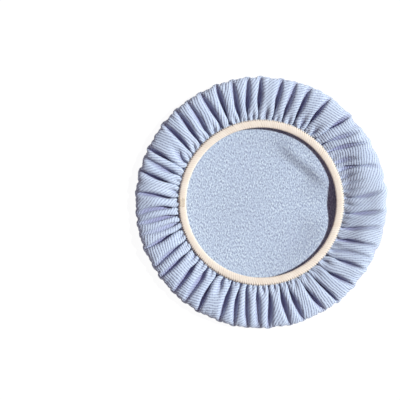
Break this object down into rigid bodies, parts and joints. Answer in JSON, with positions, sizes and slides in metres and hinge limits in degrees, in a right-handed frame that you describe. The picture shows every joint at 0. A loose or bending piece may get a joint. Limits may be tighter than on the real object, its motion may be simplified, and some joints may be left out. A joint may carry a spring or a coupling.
{
  "type": "polishing bonnet",
  "caption": "Round cloth polishing bonnet with a gathered skirt and an overlocked elastic mouth, which slips over a polisher's backing pad.",
  "frame": {"origin": "centre of the working face, at the bottom", "axes": "+Z from the working face up through the elastic mouth; +X and +Y in the plane of the working face, with the joint of the elastic's ends on -X"},
  "size_m": [0.25, 0.25, 0.0147],
  "materials": {
    "microfibre": "matte",
    "braid": "matte",
    "rubber_strand": "satin",
    "looper_yarn": "matte",
    "sewing_thread": "matte"
  },
  "bodies": {
    "root": {"cloth_face": "microfibre", "cloth_rim": "microfibre", "cloth_skirt": "microfibre", "elastic_braid": "braid", "elastic_cores": "rubber_strand", "upper_looper_thread": "looper_yarn", "lower_looper_thread": "looper_yarn", "needle_thread": "sewing_thread", "tack_thread": "sewing_thread"}
  },
  "joints": []
}
